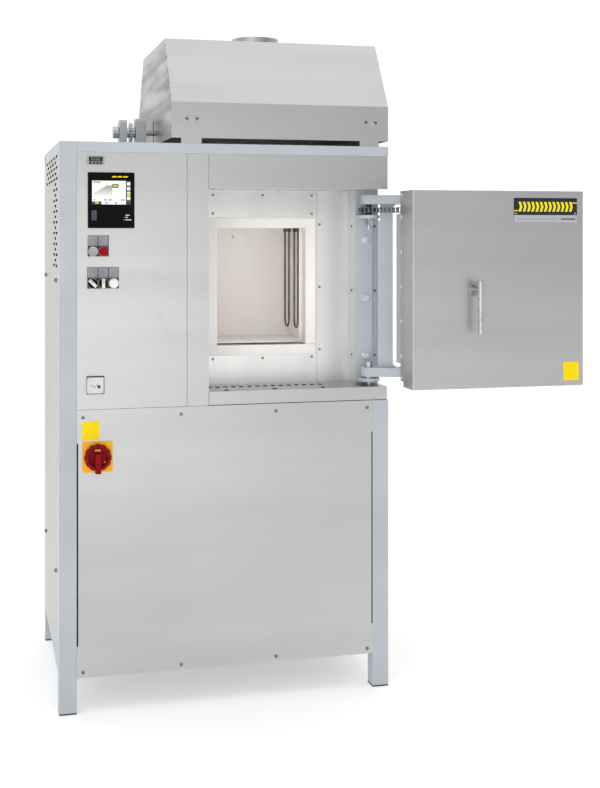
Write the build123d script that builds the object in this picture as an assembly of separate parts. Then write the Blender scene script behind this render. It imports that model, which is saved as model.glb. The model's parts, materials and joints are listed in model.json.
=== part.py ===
from build123d import *

import os
from math import atan2, cos, degrees, pi, radians, sin, sqrt

# A front-loading laboratory and pottery kiln on a tube frame, with a door that swings out parallel
# to the front. Millimetres, +Z up. The model is drawn with X = 0 on the cabinet's middle plane,
# Y = 0 on its front plane and Z = 0 on the floor, and moved at the end so that the origin is the
# middle of the footprint of the whole kiln with its door open.

# ---- driving dimensions ----
cabinet_width = 985
cabinet_depth = 740
cabinet_height = 1636
tube = 50
rail_height = 30
tube_wall = 2.5
sheet = 1.5
foot_height = 4
panel_bottom = 103
shelf_level = 909
work_top = 868
fascia_bottom = 1507
rail_bottom = cabinet_height - rail_height

half = cabinet_width / 2
inner_half = half - tube

recess_left = -60
recess_right = 417
recess_back = 173
bracket_front = 95
bracket_back = 103
slot_count = 15
slot_pitch = 24.6
slot_size = (14, 34)
slot_start = -52

# chamber and collar
collar_x = 136.8
collar_z = 1209
collar_width = 281
collar_height = 362
collar_rim = 31
collar_front = 170
chamber_front = 253
chamber_depth = 300
chamber_width = 358
board = 90
element_x = 149
element_wire = 3
element_terminal = 6
element_legs = ((300, 347), (419, 473))
probe_x = 124
probe_z = 1361

# hinge, arms and door
hinge_x = 449
hinge_y = 58
arm_length = 289
arm_width = 50
arm_height = 28
upper_arm_z = 1462
lower_arm_z = 935
open_angle = -20.25
web_near = 26.5
web_notch = 34.5
web_notch_low = 1412
web_far = 73
sprocket_teeth = 14
chain_links = 60
chain_pitch = 2 * arm_length / (chain_links - sprocket_teeth)
pitch_radius = chain_pitch / (2 * sin(pi / sprocket_teeth))
chain_middle = 1444.5
pin_radius = 6
hub_radius = 8.5
door_stub_radius = 8
running_gap = 0.05

door_left = -216.5
door_right = 324.5
door_front = -146
door_seam = -64
door_back = -37
door_low = 918
door_high = 1499
handle_middle = 696.4
handle_z = 1209.3
plug_left = -179
plug_right = 141
plug_back = 111.5
casing_left = -211
casing_right = 200
casing_back = 16
casing_low = 984
casing_high = 1431

# hood and duct
hood_left = -170
hood_right = half
hood_low = 1652
hood_fold = 1757
hood_high = 1960
hood_front = 2
hood_back = 760
hood_slope = 131
hood_screw_x = (-126, -95.5, 420, 450.6)
duct_x = 162
duct_y = 381
duct_radius = 76
duct_top = 2003

# vent drive
vent_y = 385
vent_z = 1693.5
vent_radius = 9
exhaust_y = 430

# front controls
button_radius = 11
bezel_radius = 14.6
cap_radius = 13.8
group_one = (-397, -367)
group_two = (-398, -368, -338)
group_one_z = 1321.5
group_two_z = 1230
switch_x = -384
switch_z = 733
knob_radius = 38.5
knob_lobes = 12

parts = {}


def block(x0, x1, y0, y1, z0, z1):
    return Pos((x0 + x1) / 2, (y0 + y1) / 2, (z0 + z1) / 2) * Box(x1 - x0, y1 - y0, z1 - z0)


def rod_z(x, y, z0, z1, radius):
    return Pos(x, y, (z0 + z1) / 2) * Cylinder(radius, z1 - z0)


def rod_y(x, z, y0, y1, radius):
    return Pos(x, (y0 + y1) / 2, z) * Rot(90, 0, 0) * Cylinder(radius, y1 - y0)


def rod_x(y, z, x0, x1, radius):
    return Pos((x0 + x1) / 2, y, z) * Rot(0, 90, 0) * Cylinder(radius, x1 - x0)


def hex_y(x, z, y0, y1, across):
    profile = RegularPolygon(across / 2, 6, major_radius=False)
    return Pos(x, y1, z) * Rot(90, 0, 0) * extrude(profile, y1 - y0)


def hex_z(x, y, z0, z1, across):
    return Pos(x, y, z0) * extrude(RegularPolygon(across / 2, 6, major_radius=False), z1 - z0)


def group(shapes):
    return Compound([solid for shape in shapes for solid in shape.solids()])


def screw_y(x, z, y, radius, head):
    # a pan head that stands out of a face towards the front
    return fillet(rod_y(x, z, y - head, y, radius).faces().sort_by(Axis.Y)[0].edges(), head * 0.4)


def hollow_bar(x0, x1, y0, y1, z0, z1, along):
    # a rectangular tube, open at both ends
    grow = {a: (-tube_wall if a != along else 1) for a in "xyz"}
    core = block(x0 - grow["x"], x1 + grow["x"], y0 - grow["y"], y1 + grow["y"],
                 z0 - grow["z"], z1 + grow["z"])
    return block(x0, x1, y0, y1, z0, z1) - core


def ring_bars(x, z, width, height, rim_x, rim_z, y0, y1):
    # four bars round a rectangular opening: bottom, top, left and right
    xi, zi = width / 2, height / 2
    return [
        block(x - xi - rim_x, x + xi + rim_x, y0, y1, z - zi - rim_z, z - zi),
        block(x - xi - rim_x, x + xi + rim_x, y0, y1, z + zi, z + zi + rim_z),
        block(x - xi - rim_x, x - xi, y0, y1, z - zi, z + zi),
        block(x + xi, x + xi + rim_x, y0, y1, z - zi, z + zi),
    ]


def slot_row(first, y, z, places=range(slot_count)):
    # one row of vent slots through a level sheet
    wide, deep = slot_size
    centres = [first + slot_pitch * (i + 0.5) for i in places]
    return [block(x - wide / 2, x + wide / 2, y - deep / 2, y + deep / 2, z - 5, z + 5) for x in centres]


# ---- frame ----
def make_frame():
    post = dict(z0=foot_height, along="z")
    posts = [
        hollow_bar(-half, -inner_half, 0, tube, z1=cabinet_height, **post),
        hollow_bar(inner_half, half, 0, tube, z1=work_top, **post),
        hollow_bar(-half, -inner_half, cabinet_depth - tube, cabinet_depth, z1=rail_bottom, **post),
        hollow_bar(inner_half, half, cabinet_depth - tube, cabinet_depth, z1=rail_bottom, **post),
        hollow_bar(inner_half - sheet, half - sheet, bracket_back, bracket_back + tube,
                   z0=work_top, z1=rail_bottom, along="z"),
    ]
    parts["frame_posts"] = group(posts)

    back = cabinet_depth - tube
    rails = [
        hollow_bar(-inner_half, half, 0, tube, rail_bottom, cabinet_height, "x"),
        hollow_bar(-half, half, back, cabinet_depth, rail_bottom, cabinet_height, "x"),
        hollow_bar(-half, -inner_half, tube, back, rail_bottom, cabinet_height, "y"),
        hollow_bar(inner_half, half, tube, back, rail_bottom, cabinet_height, "y"),
    ]
    for z in (panel_bottom, work_top - rail_height):
        rails += [
            hollow_bar(-inner_half, inner_half, sheet, tube, z, z + rail_height, "x"),
            hollow_bar(-inner_half, inner_half, back, cabinet_depth - sheet, z, z + rail_height, "x"),
            hollow_bar(-half + sheet, -inner_half, tube, back, z, z + rail_height, "y"),
            hollow_bar(inner_half, half - sheet, tube, back, z, z + rail_height, "y"),
        ]
    # two bearers under the firing chamber
    bearer_top = collar_z - collar_height / 2 - board - 2
    for x in (-30, 250):
        rails.append(hollow_bar(x, x + tube, recess_back + 5, back, work_top, bearer_top, "y"))
    parts["frame_rails"] = group(rails)

    caps = []
    for x in (-half, inner_half):
        for y in (0, cabinet_depth - tube):
            pad = block(x, x + tube, y, y + tube, 0, foot_height)
            spigot = block(x + tube_wall, x + tube - tube_wall, y + tube_wall, y + tube - tube_wall,
                           foot_height, foot_height + 18)
            caps.append(pad + spigot)
    parts["foot_caps"] = group(caps)


# ---- outer panels ----
def vent_slots(face_x):
    # staggered slots: five full rows at the top, then two and one by turns near the front
    slots = []
    pitch, rise, length, width = 117, 16, 76, 8
    for row in range(21):
        z = 1598 - rise * row
        first = 109 + (pitch / 2 if row % 2 else 0)
        count = (4 if row % 2 else 5) if row < 5 else (1 if row % 2 else 2)
        for column in range(count):
            y = first + pitch * column
            slots.append(block(face_x - 5, face_x + 5, y - length / 2, y + length / 2,
                               z - width / 2, z + width / 2))
    return slots


def make_panels():
    back = cabinet_depth - tube
    left = block(-half, -half + sheet, tube, back, 110, rail_bottom)
    parts["left_side_panel"] = left - vent_slots(-half)

    right = block(half - sheet, half, bracket_back, back, work_top, rail_bottom)
    parts["right_side_panel"] = right + block(half - sheet, half, tube, back, 110, work_top)

    rear = block(-inner_half, inner_half, cabinet_depth - sheet, cabinet_depth,
                 panel_bottom, rail_bottom)
    louvres = [
        block(-300 + 100 * i, -230 + 100 * i, back, cabinet_depth + 5, z, z + 8)
        for i in range(6) for z in (200, 224, 248, 1520, 1544, 1568)
    ]
    parts["rear_panel"] = rear - louvres

    front = block(-inner_half, inner_half, 0, sheet, panel_bottom, work_top)
    slits = [
        block(-inner_half - 1, -inner_half + 4, -1, sheet + 1, 193, 773),
        block(inner_half - 4, inner_half + 1, -1, sheet + 1, 193, 773),
    ]
    slits.append(block(switch_x - 32, switch_x + 32, -1, sheet + 1, switch_z - 32, switch_z + 32))
    parts["lower_front_panel"] = front - slits

    control = block(-inner_half, -125, 0, sheet, work_top + 1, rail_bottom)
    cuts = [
        block(-406, -284, -1, 5, 1394, 1542),
        block(-412, -367, -1, 5, 1572, 1592.5),
        block(-411, -368, -1, 5, 916, 961),
    ]
    cuts += [rod_y(x, group_one_z, -1, 5, button_radius + 0.2) for x in group_one]
    cuts += [rod_y(x, group_two_z, -1, 5, button_radius + 0.2) for x in group_two]
    parts["control_panel"] = control - cuts
    parts["front_fascias"] = group([
        block(-124, recess_left - 1, 0, sheet, work_top + 1, rail_bottom),
        block(recess_left, half - 2.5, 0, sheet, fascia_bottom, rail_bottom),
    ])

    shelf = block(recess_left, 488, 0, bracket_front, shelf_level - sheet, shelf_level)
    shelf += block(recess_left, recess_right, bracket_front, recess_back, shelf_level - sheet, shelf_level)
    shelf += block(recess_left, 488, 0, sheet, work_top + 2, shelf_level)
    shelf -= slot_row(slot_start, 106, shelf_level)
    parts["recess_shelf"] = shelf - slot_row(slot_start, 30, shelf_level, (1.5, 7.5, 13.5))

    ceiling = block(recess_left, recess_right, sheet, recess_back, fascia_bottom - sheet, fascia_bottom)
    ceiling -= slot_row(slot_start, 50, fascia_bottom)
    ceiling -= slot_row(slot_start + slot_pitch / 2, 125, fascia_bottom)
    rim_top = collar_z + collar_height / 2 + collar_rim
    rim_low = collar_z - collar_height / 2 - collar_rim
    rim_left = collar_x - collar_width / 2 - collar_rim
    rim_right = collar_x + collar_width / 2 + collar_rim
    y0, y1 = recess_back, recess_back + sheet
    top = fascia_bottom - sheet
    joint = 314
    parts["recess_panels"] = group([
        ceiling,
        block(recess_left, joint, y0, y1, rim_top, top),
        block(recess_left, joint, y0, y1, shelf_level, rim_low),
        block(joint + 0.8, recess_right, y0, y1, shelf_level, top),
        block(recess_left, rim_left, y0, y1, rim_low, rim_top),
        block(rim_right, joint, y0, y1, rim_low, rim_top),
        block(recess_left - sheet, recess_left, sheet, recess_back, shelf_level, top),
        block(recess_right, recess_right + sheet, bracket_back, recess_back + sheet,
              shelf_level, top),
    ])

    roof = block(-inner_half, inner_half, tube, back, cabinet_height - sheet, cabinet_height)
    roof -= rod_z(collar_x, exhaust_y, cabinet_height - 5, cabinet_height + 5, 31)
    parts["top_cover"] = roof

    parts["base_plate"] = block(-inner_half, inner_half, tube, back,
                                panel_bottom + rail_height, panel_bottom + rail_height + 2)


# ---- firing chamber ----
def make_chamber():
    parts["collar_lining"] = group(ring_bars(
        collar_x, collar_z, collar_width, collar_height, collar_rim, collar_rim,
        collar_front, chamber_front))

    left = collar_x - chamber_width / 2
    right = collar_x + chamber_width / 2
    low = collar_z - collar_height / 2
    high = collar_z + collar_height / 2
    back = chamber_front + chamber_depth
    roof = block(left - board, right + board, chamber_front, back + board, high, high + board)
    terminals = [
        rod_z(collar_x + side * element_x, y, high - 5, high + board + 5, element_terminal + 0.5)
        for side in (-1, 1) for pair in element_legs for y in pair
    ]
    roof = roof - terminals - rod_z(collar_x, exhaust_y, high - 5, high + board + 5, 30)
    rear = block(left, right, back, back + board, low, high)
    rear -= rod_y(probe_x, probe_z, back - 5, back + board + 5, 4.5)
    outer_left = left - board
    rim_left = collar_x - collar_width / 2 - collar_rim
    rim_right = collar_x + collar_width / 2 + collar_rim
    rim_low = low - collar_rim
    rim_top = high + collar_rim
    y0, y1 = recess_back + 3, chamber_front
    pipe = rod_z(collar_x, exhaust_y, high, cabinet_height + 4, 30)
    parts["chamber_lining"] = group([
        pipe - rod_z(collar_x, exhaust_y, high - 5, cabinet_height + 9, 20),
        block(left - board, right + board, chamber_front, back + board, low - board, low),
        roof,
        rear,
        block(left - board, left, chamber_front, back + board, low, high),
        block(right, right + board, chamber_front, back + board, low, high),
        block(outer_left, right + board, y0, y1, low - board, rim_low),
        block(outer_left, right + board, y0, y1, rim_top, high + board),
        block(outer_left, rim_left, y0, y1, rim_low, rim_top),
        block(rim_right, right + board, y0, y1, rim_low, rim_top),
    ])

    outer = block(outer_left - 2, right + board + 2, y0, back + board + 2,
                  low - board - 2, high + board + 2)
    inner = block(outer_left, right + board, y0 - 5, back + board, low - board, high + board)
    casing = outer - inner
    casing -= [
        rod_z(collar_x + side * element_x, y, high + board - 5, high + board + 5, 12)
        for side in (-1, 1) for pair in element_legs for y in pair
    ]
    casing -= rod_z(collar_x, exhaust_y, high + board - 5, high + board + 5, 32)
    casing -= rod_y(probe_x, probe_z, back + board - 5, back + board + 5, 8)
    parts["kiln_casing"] = casing

    # each element is one hairpin: thick terminals through the roof and a thin heating bend below
    elements = []
    clamps = []
    bend_z = 1092
    terminal_low = high - 12
    terminal_top = high + board + 70
    for side in (-1, 1):
        x = collar_x + side * element_x
        for y0, y1 in element_legs:
            radius = (y1 - y0) / 2
            bend = Pos(x, y0 + radius, bend_z) * Rot(0, 90, 0) * Torus(radius, element_wire)
            bend &= block(x - 10, x + 10, y0 - 10, y1 + 10, bend_z - radius - 10, bend_z)
            legs = [rod_z(x, y, bend_z, terminal_low, element_wire) for y in (y0, y1)]
            ends = [rod_z(x, y, terminal_low, terminal_top, element_terminal) for y in (y0, y1)]
            hairpin = bend
            for piece in legs + ends:
                hairpin += piece
            elements.append(hairpin)
            for y in (y0, y1):
                clamp = block(x - 10, x + 10, y - 9, y + 9, terminal_top - 26, terminal_top - 6)
                clamps.append(clamp - rod_z(x, y, terminal_top - 40, terminal_top + 5, element_terminal))
        strap_y = (element_legs[0][1] + 9, element_legs[1][0] - 9)
        clamps.append(block(x - 8, x + 8, *strap_y, terminal_top - 18, terminal_top - 14))
    parts["heating_elements"] = group(elements)
    parts["element_straps"] = group(clamps)

    sheath = rod_y(probe_x, probe_z, back - 18, back + board + 30, 4)
    head = rod_y(probe_x, probe_z, back + board + 30, back + board + 60, 16)
    parts["thermocouple"] = sheath + head


# ---- power parts in the base ----
def make_power():
    floor = panel_bottom + rail_height + 2
    core = block(120, 380, 300, 430, floor, floor + 230)
    core -= block(160, 225, 299, 431, floor + 40, floor + 190)
    core -= block(275, 340, 299, 431, floor + 40, floor + 190)
    windings = []
    for x in (140, 250, 360):
        winding = block(x - 28, x + 28, 280, 450, floor + 44, floor + 186)
        windings.append(winding - core)
    transformer = core
    for winding in windings:
        transformer += winding
    parts["transformer"] = transformer

    base = block(-380, -140, 200, 400, floor, floor + 12)
    body = block(-370, -210, 220, 380, floor + 12, floor + 190)
    fins = [
        block(-200 + 8 * i, -197 + 8 * i, 220, 380, floor + 12, floor + 150) for i in range(7)
    ]
    parts["power_controller"] = group([base, body] + fins)


# ---- front controls ----
def bezel(x, z, y):
    # a round panel bezel: a thin flange and its barrel through the sheet
    shape = rod_y(x, z, y - 1.5, y, bezel_radius) + rod_y(x, z, y, y + 30, button_radius)
    return shape - rod_y(x, z, y - 2, y + 31, button_radius - 1.5)


def make_controls():
    plate_front = -3
    case = block(-411.5, -278.6, -6.5, 0, 1388, 1548)
    case = fillet(case.edges().filter_by(Axis.Y), 2.5)
    case = chamfer(case.faces().sort_by(Axis.Y)[0].edges(), 1)
    case += block(-405, -285, 0, 95, 1395, 1541)
    case -= block(-400, -289, -8, -4.5, 1456, 1524)
    parts["controller_case"] = case
    parts["controller_screen"] = block(-400, -289, -6, -4.5, 1456, 1524)

    meter = fillet(block(-413.7, -364.9, -6, 0, 1569.7, 1594.8).edges().filter_by(Axis.Y), 1.5)
    parts["panel_meter"] = meter + block(-411.5, -367.5, 0, 60, 1572.5, 1592)

    plates = []
    for x in group_one:
        plates.append(block(x - 14.8, x + 14.8, plate_front, 0, 1307, 1367)
                      - rod_y(x, group_one_z, -5, 1, button_radius + 0.2))
    for x in group_two:
        plates.append(block(x - 14.8, x + 14.8, plate_front, 0, 1215, 1276)
                      - rod_y(x, group_two_z, -5, 1, button_radius + 0.2))
    parts["legend_plates"] = group(plates)

    places = [(x, group_one_z) for x in group_one] + [(x, group_two_z) for x in group_two]
    parts["button_bezels"] = group([bezel(x, z, plate_front) for x, z in places])

    lens_x = group_two[2]
    lens = rod_y(lens_x, group_two_z, -15, -4.7, cap_radius)
    lens = fillet(lens.faces().sort_by(Axis.Y)[0].edges(), 4)
    parts["indicator_lamp"] = lens + rod_y(lens_x, group_two_z, -4.7, 20, button_radius - 1.6)

    for name, x in zip(("start_button", "stop_button"), group_one):
        cap = rod_y(x, group_one_z, -13.5, -9.5, cap_radius)
        cap = fillet(cap.faces().sort_by(Axis.Y)[0].edges(), 1.2)
        parts[name] = cap + rod_y(x, group_one_z, -9.5, 18, button_radius - 1.55)

    for name, x, turn in zip(("left_selector", "right_selector"), group_two, (-45, 0)):
        disc = rod_y(x, group_two_z, -12, -4.7, cap_radius)
        lever = Pos(x, -16, group_two_z) * Rot(0, turn, 0) * Box(9.6, 10, 28)
        lever = fillet(lever.edges().filter_by(Axis.Y), 2)
        parts[name] = disc + lever + rod_y(x, group_two_z, -4.7, 20, button_radius - 1.55)

    plate = fillet(block(-427, -341, -3.5, 0, 689, 777).edges().filter_by(Axis.Y), 5)
    body = block(switch_x - 30, switch_x + 30, 0, 62, switch_z - 30, switch_z + 30)
    parts["main_switch_plate"] = plate + body - rod_y(switch_x, switch_z, -5, 30, 4 + running_gap)

    # the knob is a scalloped ring round a sunk disc, with a bar grip that points down past the ring
    knob = rod_y(switch_x, switch_z, -22, -4, knob_radius)
    knob = fillet(knob.faces().sort_by(Axis.Y)[0].edges(), 2.5)
    for i in range(knob_lobes):
        turn = 2 * pi * (i + 0.5) / knob_lobes
        reach = knob_radius + 4.6
        knob -= rod_y(switch_x + reach * cos(turn), switch_z + reach * sin(turn), -23, -3, 7)
    knob -= rod_y(switch_x, switch_z, -23, -9, knob_radius - 10)
    grip = block(switch_x - 8, switch_x + 8, -30, -9, switch_z - 45, switch_z + 12)
    grip = fillet(grip.edges().filter_by(Axis.Y), 2)
    grip = fillet(grip.faces().sort_by(Axis.Y)[0].edges(), 1.5)
    parts["main_switch_knob"] = knob + grip + rod_y(switch_x, switch_z, -4, 28, 4)

    frame = block(-414, -365, -8, 0, 913, 964)
    frame = chamfer(frame.faces().sort_by(Axis.Y)[0].edges(), 2)
    frame += block(-410, -369, 0, 25, 917, 960)
    frame -= block(-408, -371, -9, -4, 919, 958)
    parts["interface_frame"] = frame
    flap = block(-412.5, -367.5, -11.5, -9, 915.5, 961.5)
    flap = fillet(flap.edges().filter_by(Axis.Y), 0.8)
    flap += rod_y(-371, 919.5, -13, -11.5, 2.5)
    hinge_rod = rod_z(-413, -10.2, 918, 959, 1.5)
    parts["interface_flap"] = flap + hinge_rod

    cover = block(-401, -387, -9, -7, 1410, 1439)
    parts["usb_cover"] = cover + rod_z(-401, -8, 1411, 1438, 1)


# ---- hood, duct and vent drive ----
def make_hood():
    mid_left, mid_right = hood_left + 2, hood_right - 2
    tilt = degrees(atan2(hood_high - hood_fold, hood_slope))
    slope_length = sqrt((hood_high - hood_fold) ** 2 + hood_slope ** 2)
    y_top0, y_top1 = hood_front + hood_slope, hood_back - hood_slope
    width = mid_right - mid_left
    middle = (mid_left + mid_right) / 2

    def slope(y_fold, sign):
        flat = Pos(0, slope_length / 2, -sheet / 2) * Box(width, slope_length, sheet)
        lean = Rot(tilt, 0, 0) * flat
        if sign < 0:
            lean = mirror(lean, Plane.XZ)
        return Pos(middle, y_fold, hood_fold) * lean

    front = block(mid_left, mid_right, hood_front, hood_front + sheet, hood_low, hood_fold)
    back = block(mid_left, mid_right, hood_back - sheet, hood_back, hood_low, hood_fold)
    slots = [
        block(x - 3.5, x + 3.5, hood_front - 2, hood_front + 5, 1677, 1713)
        for x in hood_screw_x
    ]
    rear_slots = [
        block(x - 3.5, x + 3.5, hood_back - 5, hood_back + 2, 1677, 1713)
        for x in hood_screw_x
    ]
    top = block(mid_left, mid_right, y_top0, y_top1, hood_high - sheet, hood_high)
    top -= rod_z(duct_x, duct_y, hood_high - 5, hood_high + 5, duct_radius - sheet)
    outline = [
        (hood_front, hood_low), (hood_front, hood_fold), (y_top0, hood_high),
        (y_top1, hood_high), (hood_back, hood_fold), (hood_back, hood_low),
    ]

    def end(x):
        face = make_face(Polyline([(x, y, z) for y, z in outline], close=True))
        return extrude(face, 2, dir=(1, 0, 0))

    left = end(hood_left) - block(hood_left - 5, hood_left + 5, vent_y - 11, vent_y + 11,
                                  hood_low - 5, 1731)
    parts["hood_shell"] = group([
        front - slots, back - rear_slots, top,
        slope(hood_front, 1), slope(hood_back, -1),
        left, end(hood_right - 2),
    ])

    ring = rod_z(duct_x, duct_y, hood_high, duct_top, duct_radius)
    parts["duct_collar"] = ring - rod_z(duct_x, duct_y, hood_high - 5, duct_top + 5, duct_radius - sheet)

    brackets = []
    for x in (-111, 433):
        brackets.append(
            block(x - 30, x + 30, hood_front + sheet, hood_front + sheet + 3, cabinet_height, 1726)
            + block(x - 30, x + 30, hood_front + sheet, 45, cabinet_height, cabinet_height + 3))
        brackets.append(
            block(x - 30, x + 30, hood_back - sheet - 3, hood_back - sheet, cabinet_height, 1726)
            + block(x - 30, x + 30, 700, hood_back - sheet, cabinet_height, cabinet_height + 3))
    parts["hood_brackets"] = group(brackets)

    blocks = []
    for x0, x1, z1 in ((-280, -257.6, 1732), (-229, -197, 1737)):
        housing = block(x0, x1, vent_y - 32, vent_y + 32, cabinet_height, z1)
        housing = chamfer(housing.edges().filter_by(Axis.X).group_by(Axis.Z)[-1], 8)
        blocks.append(housing - rod_x(vent_y, vent_z, x0 - 5, x1 + 5, vent_radius + running_gap))
    parts["bearing_blocks"] = group(blocks)

    shaft = rod_x(vent_y, vent_z, -298, 200, vent_radius)
    shaft += rod_x(vent_y, vent_z, -299, -282, 19)
    wheel = rod_x(vent_y, vent_z, -248, -238, 31)
    for i in range(18):
        turn = 2 * pi * i / 18
        wheel -= rod_x(vent_y + 31 * cos(turn), vent_z + 31 * sin(turn), -249, -237, 3.2)
    shaft += wheel + rod_x(vent_y, vent_z, -256, -230, 16)
    parts["vent_shaft"] = shaft

    lid_z = cabinet_height + 5
    arm = block(collar_x - 10, collar_x + 10, vent_y - 12, exhaust_y + 8, vent_z - 12, vent_z + 12)
    arm -= rod_x(vent_y, vent_z, collar_x - 15, collar_x + 15, vent_radius)
    stem = rod_z(collar_x, exhaust_y, lid_z + 10, vent_z - 12, 6)
    lid = rod_z(collar_x, exhaust_y, lid_z, lid_z + 10, 34)
    parts["vent_flap"] = arm + stem + lid


# ---- hinge ----
def sprocket(x, y):
    tip = pitch_radius + 3.2
    disc = rod_z(x, y, chain_middle - 3.5, chain_middle + 3.5, tip)
    for i in range(sprocket_teeth):
        turn = 2 * pi * (i + 0.5) / sprocket_teeth
        disc -= rod_z(x + pitch_radius * cos(turn), y + pitch_radius * sin(turn),
                      chain_middle - 5, chain_middle + 5, 4.3)
    return disc


def bearing_plate(z0, z1, bore):
    nose = rod_z(hinge_x, hinge_y, z0, z1, 33)
    tail = block(416, 482, hinge_y, bracket_front, z0, z1)
    return nose + tail - rod_z(hinge_x, hinge_y, z0 - 1, z1 + 1, bore)


def make_hinge():
    bracket = block(417, 472, bracket_front, bracket_back, shelf_level, 1565)
    bracket += bearing_plate(1419, 1429, pin_radius) + bearing_plate(920, 930, pin_radius)
    parts["hinge_bracket"] = bracket
    bolts = []
    for z in (994, 1174, 1355):
        washer = rod_y(hinge_x, z, bracket_front - 2.5, bracket_front, 12)
        bolts.append(washer + hex_y(hinge_x, z, bracket_front - 10, bracket_front - 2.5, 18))
    parts["hinge_bolts"] = group(bolts)
    upper = rod_z(hinge_x, hinge_y, 1384, 1492, pin_radius)
    upper += rod_z(hinge_x, hinge_y, 1417, 1419, 11) + hex_z(hinge_x, hinge_y, 1398, 1417, 17)
    upper += rod_z(hinge_x, hinge_y, 1490.3, 1492, 13)
    lower = rod_z(hinge_x, hinge_y, shelf_level, 980, pin_radius)
    lower += rod_z(hinge_x, hinge_y, 930, 934.7, 16)
    lower += rod_z(hinge_x, hinge_y, 963.4, 973, 12)
    lower += rod_z(hinge_x, hinge_y, 973, 980, 15)
    parts["hinge_pins"] = group([upper, lower])

    wheel = sprocket(hinge_x, hinge_y)
    wheel += rod_z(hinge_x, hinge_y, 1430, 1461.5, hub_radius)
    parts["fixed_sprocket"] = wheel - rod_z(hinge_x, hinge_y, 1420, 1470, pin_radius)


# ---- arms, drawn along +X from the hinge and turned to the open angle ----
def arm_bar(z, bore_hinge, bore_door):
    bar = block(0, arm_length, -arm_width / 2, arm_width / 2, z, z + arm_height)
    bar += rod_z(0, 0, z, z + arm_height, arm_width / 2)
    bar += rod_z(arm_length, 0, z, z + arm_height, arm_width / 2)
    bar -= rod_z(0, 0, z - 1, z + arm_height + 1, bore_hinge + running_gap)
    return bar - rod_z(arm_length, 0, z - 1, z + arm_height + 1, bore_door + running_gap)


def make_arms():
    place = Pos(hinge_x, hinge_y, 0) * Rot(0, 0, open_angle)
    parts["upper_arm"] = place * arm_bar(upper_arm_z, pin_radius, pin_radius)
    parts["lower_arm"] = place * arm_bar(lower_arm_z, pin_radius, door_stub_radius)

    low, high = lower_arm_z + arm_height, upper_arm_z
    gusset = 10
    corners = [
        (web_near, low), (web_far + gusset, low), (web_far, low + gusset),
        (web_far, high - gusset), (web_far + gusset, high), (web_notch, high),
        (web_notch, web_notch_low), (web_near, web_notch_low),
    ]
    face = make_face(Polyline([(x, -4, z) for x, z in corners], close=True))
    parts["arm_web"] = place * extrude(face, 8, dir=(0, 1, 0))

    def loop(radius, z0, z1):
        band = block(0, arm_length, -radius, radius, z0, z1)
        return band + rod_z(0, 0, z0, z1, radius) + rod_z(arm_length, 0, z0, z1, radius)

    chain = None
    for z0, z1 in ((1436, 1439.5), (1449.5, 1453)):
        plates = loop(pitch_radius + 5, z0, z1) - loop(pitch_radius - 5, z0 - 1, z1 + 1)
        chain = plates if chain is None else chain + plates
    straight_links = chain_links // 2 - sprocket_teeth // 2
    for i in range(3, straight_links - 2):
        for side in (-1, 1):
            chain += rod_z(i * arm_length / straight_links, side * pitch_radius, 1439, 1450, 4)
    parts["drive_chain"] = place * chain


# ---- door, drawn about its swivel axis ----
def tray(x0, x1, y0, y1, z0, z1, wall):
    # a folded sheet box, open at the front
    inner = block(x0 + wall, x1 - wall, y0 - 1, y1 - wall, z0 + wall, z1 - wall)
    return block(x0, x1, y0, y1, z0, z1) - inner


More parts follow.
